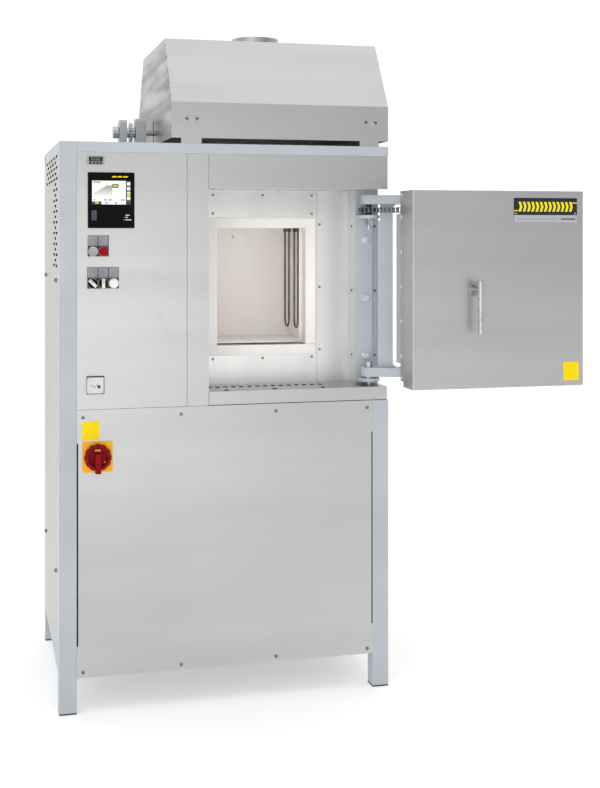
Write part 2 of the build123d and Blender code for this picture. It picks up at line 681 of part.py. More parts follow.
def make_door():
    pivot_x = hinge_x + arm_length * cos(radians(open_angle))
    pivot_y = hinge_y + arm_length * sin(radians(open_angle))
    place = Pos(pivot_x, pivot_y, 0)

    handle_x = handle_middle - pivot_x
    shell = block(door_left, door_right, door_front, door_seam, door_low, door_high)
    shell = fillet(shell.edges().filter_by(Axis.Z).group_by(Axis.Y)[0], 3)
    shell -= block(door_left + 2, door_right - 2, door_front + 2, door_seam + 1,
                   door_low + 2, door_high - 2)
    shell -= rod_y(handle_x, handle_z, door_front - 1, door_front + 4, 6)
    parts["door_front_shell"] = place * shell

    rear = tray(door_left, door_right, door_seam, door_back, door_low + 16, door_high, 2)
    parts["door_rear_frame"] = place * rear

    casing = tray(casing_left, casing_right, door_back, casing_back, casing_low, casing_high, 2)
    casing += rod_z(0, 0, casing_high, 1491, pin_radius)
    casing += rod_z(0, 0, casing_high, 1434, 20)
    casing += rod_z(0, 0, 932, casing_low, door_stub_radius)
    casing += rod_z(0, 0, 963.4, casing_low, 17)
    casing += rod_z(0, 0, 932, 934.7, 13)
    casing += rod_z(0, 0, 1490.4, 1496.5, 15)
    parts["plug_casing"] = place * casing

    plug = block(plug_left, plug_right, casing_back, plug_back, 1000, 1417)
    plug = chamfer(plug.faces().sort_by(Axis.Y)[-1].edges(), 4)
    parts["plug_insulation"] = place * plug

    wheel = sprocket(0, 0) + rod_z(0, 0, 1434.2, 1461.5, hub_radius)
    parts["door_sprocket"] = place * (wheel - rod_z(0, 0, 1420, 1470, pin_radius))

    boss = rod_y(handle_x, handle_z, door_front - 8, door_front, 21.5)
    boss = fillet(boss.faces().sort_by(Axis.Y)[0].edges(), 2.5)
    parts["handle_rosette"] = place * (boss - rod_y(handle_x, handle_z, door_front - 10,
                                                    door_front + 1, 5 + running_gap))
    neck = rod_y(handle_x, handle_z, door_front - 44, door_front - 8.4, 9)
    spindle = rod_y(handle_x, handle_z, door_front - 10, door_front + 12, 5)
    grip = rod_z(handle_x, door_front - 44, handle_z - 129, handle_z + 29, 7.8)
    grip = fillet(grip.edges(), 3)
    parts["door_handle"] = place * (neck + spindle + grip)

    plate = block(819.9 - pivot_x, 1023.8 - pivot_x, door_front - 1, door_front, 1405.7, 1478.2)
    parts["name_plate"] = place * plate

    screws = []
    for z in range(1010, 1423, 103):
        screws.append(rod_x(door_seam + 12, z, door_left - 2.6, door_left, 6))
    for z in (door_low + 26, door_high - 12):
        screws.append(rod_x(door_seam + 12, z, door_left - 2, door_left, 5))
    screws.append(rod_z(-45, door_seam - 40, door_low - 6, door_low, 4))
    parts["door_screws"] = place * group(screws)


# ---- screws that hold the sheets ----
def make_screws():
    screws = []
    for x in (-425, -142, 142, 425):
        for z in (118, 846):
            screws.append(screw_y(x, z, 0, 5, 3))
    for x, z in ((-16, 1491), (140, 1491), (297.5, 1491), (-16, 1434), (297.5, 1434),
                 (-16, 987), (140, 987), (297.5, 987), (323, 1401), (323, 1205), (323, 1010)):
        screws.append(screw_y(x, z, recess_back, 4, 2.5))
    for z in (995, 1195, 1395):
        screws.append(rod_x(bracket_front + 40, z, recess_right - 2.5, recess_right, 4))
        screws.append(screw_y(482, z, bracket_back, 4, 2.5))
    for x in hood_screw_x:
        screws.append(hex_y(x, 1708, hood_front - 6, hood_front, 11))
    for z in (388, 1236):
        for y in (105, 616):
            screws.append(rod_x(y, z, -half - 7, -half, 6))
            screws.append(rod_x(y + 70, z, half, half + 7, 6))
    parts["panel_screws"] = group(screws)


make_frame()
make_panels()
make_chamber()
make_power()
make_controls()
make_hood()
make_hinge()
make_arms()
make_door()
make_screws()

boxes = [shape.bounding_box() for shape in parts.values()]
origin_x = (min(box.min.X for box in boxes) + max(box.max.X for box in boxes)) / 2
origin_y = (min(box.min.Y for box in boxes) + max(box.max.Y for box in boxes)) / 2
os.makedirs("parts", exist_ok=True)
for name, shape in parts.items():
    export_step(Pos(-origin_x, -origin_y, 0) * shape, f"parts/{name}.step")
print("nodes", len(parts), "origin", round(origin_x, 3), round(origin_y, 3))
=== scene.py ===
import json
from math import cos, pi, radians, sin

import bmesh
import bpy
import numpy as np
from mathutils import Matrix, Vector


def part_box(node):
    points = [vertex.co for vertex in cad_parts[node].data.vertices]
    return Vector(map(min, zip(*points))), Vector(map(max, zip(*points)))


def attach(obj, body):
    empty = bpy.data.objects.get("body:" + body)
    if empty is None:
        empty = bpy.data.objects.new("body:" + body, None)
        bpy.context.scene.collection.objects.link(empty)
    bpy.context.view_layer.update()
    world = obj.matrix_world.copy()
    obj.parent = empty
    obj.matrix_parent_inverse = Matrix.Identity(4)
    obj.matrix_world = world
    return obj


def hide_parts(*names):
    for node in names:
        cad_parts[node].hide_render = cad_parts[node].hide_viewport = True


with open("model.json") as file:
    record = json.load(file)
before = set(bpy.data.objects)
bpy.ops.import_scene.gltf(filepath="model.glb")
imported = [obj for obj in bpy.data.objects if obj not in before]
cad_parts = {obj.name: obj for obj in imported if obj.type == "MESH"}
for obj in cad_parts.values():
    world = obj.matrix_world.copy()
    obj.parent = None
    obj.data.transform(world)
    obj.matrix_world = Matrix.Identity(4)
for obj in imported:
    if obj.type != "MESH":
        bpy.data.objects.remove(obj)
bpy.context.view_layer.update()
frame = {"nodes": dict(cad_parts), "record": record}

bodyOf = {node: body for body, nodes in frame["record"]["behaviour"]["bodies"].items() for node in nodes}
slotOf = {part["node"]: part["material_slot"] for part in frame["record"]["subparts"]}


def corners(node):
    # lowest and highest corner of a node
    low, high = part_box(node)
    return np.array(low), np.array(high)


def middle(node):
    low, high = corners(node)
    return (low + high) / 2


# the view, the floor, the sky and the two lamps inside the kiln
stage = {
    "cameraFromPost": (-0.2395, -3.6605, 1.3734),
    "cameraTurn": -14.42,
    "lens": 57.92,
    "shift": (0.0025, -0.204),
    "floorColor": (0.94, 0.94, 0.94, 1),
    "floorSpeck": (0.96, 0.96, 0.96, 1),
    "floorGlow": 0.34,
    "floorHalf": 60.0,
    "sky": 0.72,
    "skyRight": 0.34,
    "skyBehind": 1.1,
    "chamberLamp": ((0.26, 0.34), 0.22),
    "recessLamp": ((0.42, 0.55), 0.27),
    "recessLampShift": (0.04, 0.01, -0.05),
}
# the lamps in the room: place, aim, width and height, and power
lamps = {
    "keyLight": ((-3.2, -4.6, 2.0), (-0.2, 0, 0.9), (4.0, 3.2), 31),
    "frontLight": ((-0.3, -4.2, 1.0), (0, 0, 1.1), (1.6, 1.4), 7),
    "topLight": ((0, -0.6, 4.4), (0, 0, 1), (4, 4), 32),
}


def makeCamera():
    # the camera stands level in front of the left post and looks a little to the right
    data = bpy.data.cameras.new("viewCamera")
    data.lens = stage["lens"]
    data.sensor_width = 36
    data.shift_x, data.shift_y = stage["shift"]
    camera = bpy.data.objects.new("viewCamera", data)
    bpy.context.scene.collection.objects.link(camera)
    postLow, _ = corners("frame_posts")
    camera.location = postLow * (1, 1, 0) + np.array(stage["cameraFromPost"])
    camera.rotation_euler = (radians(90), 0, radians(stage["cameraTurn"]))
    bpy.context.scene.camera = camera


def areaLight(name, place, aim, size, power):
    light = bpy.data.lights.new(name, "AREA")
    light.shape = "RECTANGLE"
    light.size, light.size_y = size
    light.energy = power
    lamp = bpy.data.objects.new(name, light)
    bpy.context.scene.collection.objects.link(lamp)
    direction = np.array(aim) - np.array(place)
    lamp.location = place
    lamp.rotation_euler = Vector(direction).to_track_quat("-Z", "Y").to_euler()


def sumOf(operation, swapped=False):
    # a method that makes one sum of a wire and a number or another wire
    def method(self, other):
        return self.sum(operation, *((other, self) if swapped else (self, other)))
    return method


class Wire:
    # one socket, with the sums that the finishes are written in
    def __init__(self, finish, socket):
        self.finish = finish
        self.socket = socket

    def sum(self, operation, *values):
        return self.finish.node("ShaderNodeMath", {"operation": operation}, dict(enumerate(values)))

    def __abs__(self):
        return self.sum("ABSOLUTE", self)

    __add__ = __radd__ = sumOf("ADD")
    __sub__ = sumOf("SUBTRACT")
    __rsub__ = sumOf("SUBTRACT", swapped=True)
    __mul__ = __rmul__ = sumOf("MULTIPLY")
    __truediv__ = sumOf("DIVIDE")
    __mod__ = sumOf("FLOORED_MODULO")
    __gt__ = sumOf("GREATER_THAN")
    __lt__ = sumOf("LESS_THAN")
    least = sumOf("MINIMUM")

    def ramp(self, low, high):
        # 0 below low, 1 above high, smooth between
        return self.finish.node(
            "ShaderNodeMapRange", {"interpolation_type": "SMOOTHSTEP", "clamp": True},
            {"Value": self, "From Min": low, "From Max": high})


socketNames = {
    "color": "Base Color", "rough": "Roughness", "metal": "Metallic", "normal": "Normal",
    "coat": "Coat Weight", "coatRough": "Coat Roughness", "glow": "Emission Color",
    "glowPower": "Emission Strength", "specular": "Specular IOR Level",
}


class Finish:
    # one material, or the sky, and its nodes
    def __init__(self, name, sky=False):
        self.material = bpy.data.worlds.new(name) if sky else bpy.data.materials.new(name)
        self.material.use_nodes = True
        self.tree = self.material.node_tree
        self.tree.nodes.clear()

    def node(self, kind, settings=None, values=None, output=0):
        made = self.tree.nodes.new(kind)
        for key, value in (settings or {}).items():
            setattr(made, key, value)
        for key, value in (values or {}).items():
            if isinstance(value, Wire):
                self.tree.links.new(value.socket, made.inputs[key])
            else:
                made.inputs[key].default_value = value
        return Wire(self, made.outputs[output]) if len(made.outputs) else None

    def place(self):
        return self.node("ShaderNodeTexCoord", output="Object")

    def axes(self, vector=None):
        split = self.node("ShaderNodeSeparateXYZ", None, {0: vector or self.place()})
        return [Wire(self, output) for output in split.socket.node.outputs]

    def within(self, low, high):
        # place inside a box from 0 to 1 across (X) and up (Z)
        x, _, z = self.axes()
        across = (x - float(low[0])) / float(high[0] - low[0])
        return across, (z - float(low[2])) / float(high[2] - low[2])

    def stretched(self, scale, offset=(0, 0, 0)):
        return self.node("ShaderNodeMapping", None, {
            "Vector": self.place(), "Scale": scale, "Location": offset})

    def noise(self, vector, scale, detail=3, rough=0.55):
        return self.node("ShaderNodeTexNoise", None, {
            "Vector": vector, "Scale": scale, "Detail": detail, "Roughness": rough})

    def mix(self, amount, first, second):
        return self.node("ShaderNodeMix", {"data_type": "RGBA"}, {0: amount, 6: first, 7: second}, 2)

    def bump(self, height, strength, distance, normal=None):
        values = {"Height": height, "Strength": strength, "Distance": distance}
        if normal is not None:
            values["Normal"] = normal
        return self.node("ShaderNodeBump", None, values)

    def surface(self, **values):
        shader = self.node("ShaderNodeBsdfPrincipled", None,
                           {socketNames[key]: value for key, value in values.items()})
        self.node("ShaderNodeOutputMaterial", None, {"Surface": shader})
        return self.material


def shades(dark, light):
    return {"dark": tone(*dark), "light": tone(*light)}


def tone(red, green, blue):
    # screen values from 0 to 255 turned into linear light
    value = np.array([red, green, blue]) / 255
    linear = np.where(value <= 0.04045, value / 12.92, ((value + 0.055) / 1.055) ** 2.4)
    return (*linear.tolist(), 1)


def alongAxis(axis, along, across):
    # three scales, one along the named axis and one for the other two
    scale = [across] * 3
    scale["XYZ".index(axis)] = along
    return scale


print("camera and shader tools ready")


def steelFinish(name, look):
    # brushed sheet: fine scratches along the grain, broad soft streaks, a few long hairlines, smudges;
    # where a look gives a tone for the ends, faces that look sideways take it as painted shade
    finish = Finish(name)
    grain = look["grain"]
    scratch = finish.noise(finish.stretched(alongAxis(grain, 16, 1100)), 1, 4, 0.7)
    hairline = finish.noise(finish.stretched(alongAxis(grain, 2.2, 520), (4, 9, 2)), 1, 2).ramp(0.66, 0.74)
    streak = finish.noise(finish.stretched(alongAxis(grain, 0.8, 9), (3.1, 0.7, 1.9)), 1, 3)
    cloud = finish.noise(finish.place(), 1.3, 2)
    smudge = finish.noise(finish.stretched((1, 1, 1), (5, 2, 7)), 9, 4, 0.6).ramp(0.54, 0.78)
    shade = streak * 0.4 + cloud * 0.35 + scratch * 0.25
    color = finish.mix(shade.ramp(0.3, 0.7), look["dark"], look["light"])
    color = finish.mix(hairline * 0.18, color, look["hairline"])
    if "ends" in look:
        # painted shade: faces that look sideways get a darker, wavy tone in place of the brushed one
        facing, _, _ = finish.axes(finish.node("ShaderNodeNewGeometry", output="Normal"))
        wave = finish.noise(finish.stretched((1, 1.5, 16), (1, 4, 6)), 1, 2).ramp(0.35, 0.65)
        end = finish.mix(wave, look["ends"], look["dark"])
        color = finish.mix(abs(facing).ramp(0.9, 0.98), color, end)
    rough = scratch * 0.12 + cloud * 0.05 + smudge * 0.05 + (look["rough"] - 0.1)
    normal = finish.bump(scratch, look["scratchDepth"], 0.0003, finish.bump(cloud, 0.04, 0.002))
    return finish.surface(color=color, rough=rough, metal=look["metal"], normal=normal)


def paintFinish(name, look):
    # powder coat: orange peel, faint cloudiness, and scuffs that thicken towards the floor
    finish = Finish(name)
    _, _, height = finish.axes()
    peel = finish.noise(finish.place(), 420, 2)
    cloud = finish.noise(finish.place(), 3.5, 3)
    fleck = finish.noise(finish.place(), 95, 5, 0.7)
    low = 1 - height.ramp(0.0, look["scuffHeight"])
    scuff = (fleck * (low * 0.22 + 0.72)).ramp(0.54, 0.66)
    color = finish.mix(cloud.ramp(0.35, 0.65), look["dark"], look["light"])
    color = finish.mix(peel.ramp(0.45, 0.75) * 0.15, color, look["worn"])
    worn = finish.mix(scuff * look["wear"], color, look["worn"])
    rough = peel * 0.08 + scuff * 0.2 + look["rough"]
    normal = finish.bump(peel, 0.14, 0.0003)
    return finish.surface(color=worn, rough=rough, normal=normal, coat=0.1, coatRough=0.3)


def fibreFinish(name, look):
    # fibre board: felted pits, small shots, warm stains, and cut joints between the floor tiles
    finish = Finish(name)
    x, y, z = finish.axes()
    felt = finish.noise(finish.place(), 260, 5, 0.7)
    lump = finish.noise(finish.place(), 38, 4, 0.6)
    stain = finish.noise(finish.stretched((1, 1, 0.5), (2, 8, 1)), 5.5, 4)
    shot = finish.node("ShaderNodeTexVoronoi", {"feature": "F1"}, {"Vector": finish.place(), "Scale": 120})
    dot = (1 - shot.ramp(0.05, 0.13)) * lump.ramp(0.5, 0.62)
    color = finish.mix(stain.ramp(0.4, 0.7), look["pale"], look["warm"])
    color = finish.mix(felt.ramp(0.55, 0.75) * 0.3, color, look["deep"])
    color = finish.mix(dot * 0.3, color, look["shot"])
    height = felt * 0.5 + lump * 0.5
    if "joints" in look:
        lines = [(x, at) for at in look["joints"][0]] + [(y, at) for at in look["joints"][1]]
        gap = 0
        for line, at in lines:
            gap = (1 - abs(line - at).ramp(0.0005, 0.0017)) + gap
        gap = gap.ramp(0, 1) * (1 - z.ramp(look["floorTop"] + 0.001, look["floorTop"] + 0.003))
        color = finish.mix(gap * 0.5, color, look["seam"])
        height = height - gap
    normal = finish.bump(height, 0.35, 0.001)
    return finish.surface(color=color, rough=0.86 + lump * 0.1, normal=normal, specular=0.25)


def mouldedFinish(name, look):
    # moulded plastic: spark-eroded grain, faint mould shading and light dust
    finish = Finish(name)
    grain = finish.noise(finish.place(), look["grain"], 2)
    cloud = finish.noise(finish.place(), 28, 3)
    dust = finish.noise(finish.place(), 130, 5, 0.7).ramp(0.6, 0.8)
    color = finish.mix(cloud.ramp(0.3, 0.7), look["dark"], look["light"])
    color = finish.mix(dust * 0.05, color, tone(200, 200, 196))
    rough = grain * 0.12 + dust * 0.08 + look["rough"]
    normal = finish.bump(grain, look["depth"], 0.0002)
    return finish.surface(color=color, rough=rough, normal=normal, coat=look["coat"], coatRough=0.1,
                          specular=look["gloss"])


def turnedFinish(name, look):
    # turned or ground steel: tool lines, handling marks and a little oil
    finish = Finish(name)
    tool = finish.noise(finish.stretched(alongAxis(look["axis"], look["lines"], 60)), 1, 3, 0.6)
    mark = finish.noise(finish.place(), 55, 4, 0.65)
    color = finish.mix((tool * 0.5 + mark * 0.5).ramp(0.35, 0.65), look["dark"], look["light"])
    rough = tool * 0.14 + mark.ramp(0.5, 0.8) * 0.12 + look["rough"]
    normal = finish.bump(tool, 0.15, 0.0003)
    return finish.surface(color=color, rough=rough, metal=look["metal"], normal=normal)


def rodFinish(name, look):
    # fired heating rod: dark glassy skin with rust-brown bloom
    finish = Finish(name)
    bloom = finish.noise(finish.stretched((1, 1, 0.3)), 70, 4)
    pit = finish.noise(finish.place(), 900, 2)
    color = finish.mix(bloom.ramp(0.4, 0.65), look["dark"], look["light"])
    normal = finish.bump(pit, 0.2, 0.0003)
    return finish.surface(color=color, rough=0.42 + bloom * 0.2, normal=normal, coat=0.2, coatRough=0.35)


def lensFinish(name, look):
    # lamp lens: fine prisms behind a glossy skin
    finish = Finish(name)
    x, _, z = finish.axes()
    prism = abs((x * 700) % 1 - 0.5) + abs((z * 700) % 1 - 0.5)
    cloud = finish.noise(finish.place(), 90, 3)
    color = finish.mix(cloud.ramp(0.3, 0.7), look["dark"], look["light"])
    normal = finish.bump(prism, 0.15, 0.0004)
    return finish.surface(color=color, rough=0.2 + cloud * 0.1, normal=normal, coat=0.5, coatRough=0.08)


def printedFinish(name, look, low, high):
    # print on a flat face: plain blocks over a ground, each given by its edges from 0 to 1 and a colour
    finish = Finish(name)
    across, up = finish.within(low, high)
    fade = finish.noise(finish.place(), 24, 3)
    grain = finish.noise(finish.place(), 900, 2)
    color = finish.mix(fade.ramp(0.3, 0.7), look["ground"], look["faded"])
    for left, right, bottom, top, ink in look["blocks"]:
        inside = (across > left) * (across < right) * (up > bottom) * (up < top)
        color = finish.mix(inside, color, ink)
    if "chevrons" in look:
        # a band of slanted bars: the bar number grows across and with height
        left, right, bottom, top, count, ink = look["chevrons"]
        slant = (across + abs(up - (bottom + top) / 2) * 0.12) * count
        bars = ((slant % 1) > 0.42) * (across > left) * (across < right) * (up > bottom) * (up < top)
        color = finish.mix(bars, color, ink)
    normal = finish.bump(grain, 0.08, 0.0002)
    return finish.surface(color=color, rough=look["rough"] + grain * 0.1, normal=normal)


def screenFinish(name, look, low, high):
    # controller screen: a firing curve that climbs and holds over a shaded field, value dashes, soft keys
    finish = Finish(name)
    u, v = finish.within(low, high)

    def patch(left, right, bottom, top):
        return (u > left) * (u < right) * (v > bottom) * (v < top)

    curve = ((u - 0.05) * 1.06).least(0.35) + 0.45
    graph = patch(0.05, 0.52, 0.24, 0.95)
    under = (v < curve) * graph * v.ramp(0.2, 0.85)
    edge = (1 - abs(v - curve).ramp(0.012, 0.028)) * graph
    glass = finish.noise(finish.place(), 30, 2)
    dark = patch(0.87, 1, 0, 1) + patch(0.52, 0.68, 0.7, 0.86) + patch(0, 0.24, 0, 0.12)
    keys = patch(0.9, 0.98, 0.13, 0.95) * (((v - 0.13) * 4.9) % 1 > 0.3)
    marks = patch(0.03, 0.21, 0.92, 0.96) + patch(0.04, 0.08, 0.17, 0.21) + patch(0.3, 0.38, 0.17, 0.21)
    marks = marks + patch(0.42, 0.5, 0.17, 0.21) + patch(0.74, 0.84, 0.17, 0.21)
    marks = marks + patch(0.34, 0.4, 0.04, 0.09) + patch(0.58, 0.64, 0.04, 0.09)
    accents = patch(0.54, 0.66, 0.74, 0.77) + patch(0.54, 0.66, 0.79, 0.82) + patch(0.08, 0.17, 0.03, 0.09)
    accents = accents + patch(0.9, 0.98, 0.36, 0.5)
    color = finish.mix(glass * 0.15, look["page"], look["shade"])
    color = finish.mix(under * 0.85, color, look["field"])
    color = finish.mix(edge * 0.7, color, look["line"])
    color = finish.mix(marks, color, look["ink"])
    color = finish.mix(dark, color, look["ink"])
    color = finish.mix(keys, color, look["page"])
    color = finish.mix(accents, color, look["accent"])
    return finish.surface(color=color, rough=0.22 + glass * 0.06, glow=color, glowPower=look["glow"],
                          coat=0.4, coatRough=0.05)


def legendFinish(name, look, splits):
    # legend plate: a pale engraved field above each black button square, with two thin rules on it
    finish = Finish(name)
    x, _, z = finish.axes()
    column = abs(((x - look["firstColumn"]) / look["columnPitch"] + 0.5) % 1 - 0.5)
    field = 0
    rule = 0
    for bottom, top in splits:
        field = (z > bottom) * (z < top) + field
        height = (z - bottom) / (top - bottom)
        rule = (1 - abs(height - 0.42).ramp(0.02, 0.05)) + (1 - abs(height - 0.6).ramp(0.02, 0.05)) + rule
    grain = finish.noise(finish.place(), 1200, 2)
    cloud = finish.noise(finish.place(), 40, 3)
    pale = finish.mix(cloud.ramp(0.3, 0.7), look["dark"], look["light"])
    pale = finish.mix(rule.least(1) * (column < 0.36) * 0.3, pale, look["rule"])
    color = finish.mix(field * (column < 0.46), look["black"], pale)
    normal = finish.bump(grain, 0.12, 0.0002)
    return finish.surface(color=color, rough=0.38 + grain * 0.1, normal=normal)


sheetLook = {
    **shades((180, 180, 179), (194, 194, 193)), "hairline": tone(226, 226, 226),
    "rough": 0.36, "metal": 0.9, "scratchDepth": 0.1, "grain": "X",
}
paintLook = {
    **shades((180, 185, 192), (188, 193, 201)), "worn": tone(150, 154, 160),
    "rough": 0.36, "wear": 0.3, "scuffHeight": 0.25,
}
liningLow, liningHigh = corners("collar_lining")
fibreLook = {
    "pale": tone(243, 240, 237), "warm": tone(239, 234, 229), "deep": tone(222, 214, 206),
    "shot": tone(160, 140, 122), "seam": tone(166, 156, 146),
}
# the chamber floor: its height above the foot of the collar, and the cut joints between its tiles
collarRim = 0.031
tileDepth = 0.15
seamsAcross = [float(middle("collar_lining")[0])]
seamsBehind = [float(liningHigh[1]), float(liningHigh[1] + tileDepth)]
finishes = {
    "frame_paint": paintFinish("blueGreyCoat", paintLook),
    "fire_brick": fibreFinish("fibreBoard", fibreLook),
    "floorTiles": fibreFinish("fibreFloor", {
        **fibreLook, "floorTop": float(liningLow[2] + collarRim), "joints": (seamsAcross, seamsBehind)}),
    "sheath_ceramic": fibreFinish("firedAlumina", {**fibreLook, "pale": tone(236, 232, 222)}),
    "element_rod": rodFinish("heatingRod", shades((58, 54, 52), (98, 86, 76))),
    "lamp_plastic": lensFinish("lampWhite", shades((216, 218, 218), (236, 237, 236))),
    "ledRed": lensFinish("ledRed", shades((190, 20, 24), (232, 50, 44))),
    "ledYellow": lensFinish("ledYellow", shades((212, 170, 24), (240, 208, 60))),
}
# sheets that differ from the plain one: name, and what changes
sheetLooks = {
    "stainless": ("brushedStainless", {}),
    "stainlessUpright": ("brushedStainlessUpright", {"grain": "Z"}),
    "stainlessDeep": ("brushedStainlessDeep", {"grain": "Y"}),
    # the recess panels: a lighter copy of the same stainless, painted light against the shade of the recess
    "recessStainlessPaintedLightKey": ("recessStainlessPaintedLight", {
        **shades((196, 196, 195), (212, 212, 211)), "grain": "Z"}),
    # the left side panel: a darker copy of the same stainless, painted shade
    "sideSteelPaintedShade": ("sideStainlessPaintedShade", {
        **shades((166, 166, 165), (180, 180, 179)), "grain": "Z"}),
    # the hood's ends: painted shade, a darker tone on the faces that look sideways
    "hoodSteelShadedEnds": ("hoodStainlessShadedEnds", {"ends": tone(112, 111, 110)}),
    "galvanised": ("zincSheet", {
        **shades((150, 154, 158), (176, 180, 184)), "rough": 0.5}),
}
for slot, (name, changes) in sheetLooks.items():
    finishes[slot] = steelFinish(name, {**sheetLook, **changes})
# worked steel: name, axis and scale of the tool lines, darker and lighter tone, roughness, metal share
steelLooks = {
    "bezel_metal": ("satinChrome", "Y", 1800, (150, 150, 150), (186, 186, 186), 0.2, 1),
    "machined_steel": ("groundSteel", "Z", 1500, (160, 162, 164), (198, 200, 202), 0.2, 1),
    "screw_steel": ("screwSteel", "Y", 1500, (104, 103, 101), (146, 145, 143), 0.2, 1),
    "zincBolt": ("zincBolt", "Y", 1500, (196, 201, 208), (222, 226, 232), 0.2, 0.5),
    # door screws: near white and barely metal, a painted highlight on steel heads
    "doorScrew": ("doorScrew", "X", 1500, (226, 228, 230), (240, 241, 242), 0.2, 0.1),
    "black_steel": ("blackOxide", "Z", 900, (44, 44, 45), (70, 69, 68), 0.4, 0.6),
    "chain_steel": ("oiledChain", "Z", 900, (96, 95, 94), (150, 149, 147), 0.26, 0.9),
    "chainRoller": ("rollerSteel", "Z", 1500, (104, 104, 104), (142, 142, 142), 0.2, 1),
    "core_steel": ("coreLamination", "Y", 1400, (70, 70, 72), (104, 104, 106), 0.4, 0.5),
    "strap_metal": ("braidedStrap", "Y", 900, (176, 177, 178), (214, 215, 216), 0.32, 1),
}
for slot, (name, axis, lines, dark, light, rough, metal) in steelLooks.items():
    finishes[slot] = turnedFinish(name, {
        "axis": axis, "lines": lines, **shades(dark, light), "rough": rough,
        "metal": metal})
# plastics: darker and lighter tone, roughness, grain scale, grain depth, coat, gloss
plasticLooks = {
    "foot_plastic": ((56, 58, 62), (70, 72, 76), 0.55, 500, 0.3, 0, 0.2),
    "controller_plastic": ((12, 12, 12), (17, 17, 17), 0.3, 1400, 0.06, 0, 0.04),
    "meter_plastic": ((150, 153, 158), (170, 173, 178), 0.34, 1400, 0.15, 0, 0.2),
    "meterDark": ((30, 33, 40), (42, 46, 54), 0.2, 1400, 0.1, 0.3, 0.06),
    "switch_yellow": ((244, 182, 38), (250, 190, 46), 0.36, 1100, 0.2, 0, 0.2),
    "switch_red": ((126, 6, 16), (146, 12, 24), 0.3, 1100, 0.12, 0, 0.08),
    # near-black plastic used only as the painted shade of the grip's hole
    "paintedHoleShade": ((18, 14, 14), (30, 24, 24), 0.4, 1100, 0.12, 0, 0.1),
    "labelYellow": ((248, 212, 6), (252, 220, 18), 0.38, 900, 0.06, 0, 0.15),
    "flap_plastic": ((58, 62, 74), (70, 74, 86), 0.34, 1100, 0.12, 0.1, 0.2),
    "paleFlap": ((208, 209, 210), (220, 221, 222), 0.32, 1100, 0.12, 0, 0.2),
    "frameBlack": ((44, 44, 46), (58, 58, 60), 0.4, 1100, 0.15, 0, 0.1),
    "start_cap": ((160, 160, 157), (176, 175, 172), 0.28, 900, 0.1, 0.1, 0.2),
    "stop_cap": ((138, 8, 30), (156, 12, 40), 0.3, 900, 0.1, 0, 0.1),
    "selector_black": ((18, 18, 19), (32, 32, 33), 0.3, 900, 0.15, 0, 0.04),
    "selectorWhite": ((228, 228, 225), (240, 240, 238), 0.3, 900, 0.1, 0, 0.2),
}
for name, (dark, light, rough, grain, depth, coat, gloss) in plasticLooks.items():
    finishes[name] = mouldedFinish(name.replace("_", ""), {
        **shades(dark, light), "rough": rough, "grain": grain, "depth": depth,
        "coat": coat, "gloss": gloss})
finishes["screen_glass"] = screenFinish("curveScreen", {
    "page": tone(238, 240, 238), "shade": tone(220, 223, 222), "field": tone(120, 122, 122),
    "line": tone(206, 180, 40), "ink": tone(14, 14, 14), "accent": tone(224, 204, 30), "glow": 0.12,
}, *corners("controller_screen"))
yellowInk, greyInk = tone(240, 226, 20), tone(176, 178, 184)
finishes["plate_dark"] = printedFinish("doorPlate", {
    "ground": tone(14, 16, 26), "faded": tone(20, 22, 32), "rough": 0.32,
    "blocks": [(0, 1, 0, 0.3, greyInk), (0.05, 0.68, 0.12, 0.15, tone(150, 150, 156)),
               (0.74, 0.97, 0.11, 0.17, tone(80, 82, 90)),
               (0.0, 0.06, 0.46, 0.5, yellowInk), (0.9, 1.0, 0.78, 0.82, yellowInk)],
    "chevrons": (0.07, 0.93, 0.44, 0.84, 15, yellowInk),
}, *corners("name_plate"))
# legend plates: the first column from the left edge, and the pale fields from the top and bottom edges
legend = {
    "firstColumn": 0.0148, "columnPitch": 0.03, "fromTop": (0.0295, 0.0008), "fromBottom": (0.031, 0.0602),
}
platesLow, platesHigh = (corner.tolist() for corner in corners("legend_plates"))
finishes["legend_plastic"] = legendFinish("legendPlates", {
    "black": tone(40, 39, 40), **shades((130, 132, 142), (148, 150, 158)),
    "rule": tone(90, 92, 100), "firstColumn": platesLow[0] + legend["firstColumn"],
    "columnPitch": legend["columnPitch"],
}, [tuple(platesHigh[2] - edge for edge in legend["fromTop"]),
    tuple(platesLow[2] + edge for edge in legend["fromBottom"])])
print("finishes made:", len(finishes))


def gridFaces(rows, columns, wrap=True):
    # the quads between neighbouring points of a grid; wrap joins the last column to the first
    i, j = np.meshgrid(np.arange(rows - 1), np.arange(columns if wrap else columns - 1), indexing="ij")
    across = (j + 1) % columns
    return np.stack([i * columns + j, i * columns + across, (i + 1) * columns + across,
                     (i + 1) * columns + j], -1).reshape(-1, 4)


def joined(shapes):
    # several point and face arrays as one
    starts = np.cumsum([0] + [len(points) for points, _ in shapes])
    return (np.concatenate([points for points, _ in shapes]),
            np.concatenate([faces + start for (_, faces), start in zip(shapes, starts)]))


def basis(axis):
    # a direction and the two square to it, right-handed
    forward = np.array(axis, float)
    side = np.roll(np.abs(forward), 1)
    return side, np.cross(forward, side), forward


def lathe(profile, centre, axis, sides=48):
    # radius and height pairs turned about an axis through the centre
    profile = np.array(profile, float)
    side, other, forward = basis(axis)
    turn = np.linspace(0, 2 * pi, sides, endpoint=False) + pi / sides
    ring = np.cos(turn)[:, None] * side + np.sin(turn)[:, None] * other
    points = np.array(centre) + profile[:, None, 0:1] * ring[None] + profile[:, None, 1:2] * forward
    return points.reshape(-1, 3), gridFaces(len(profile), sides)


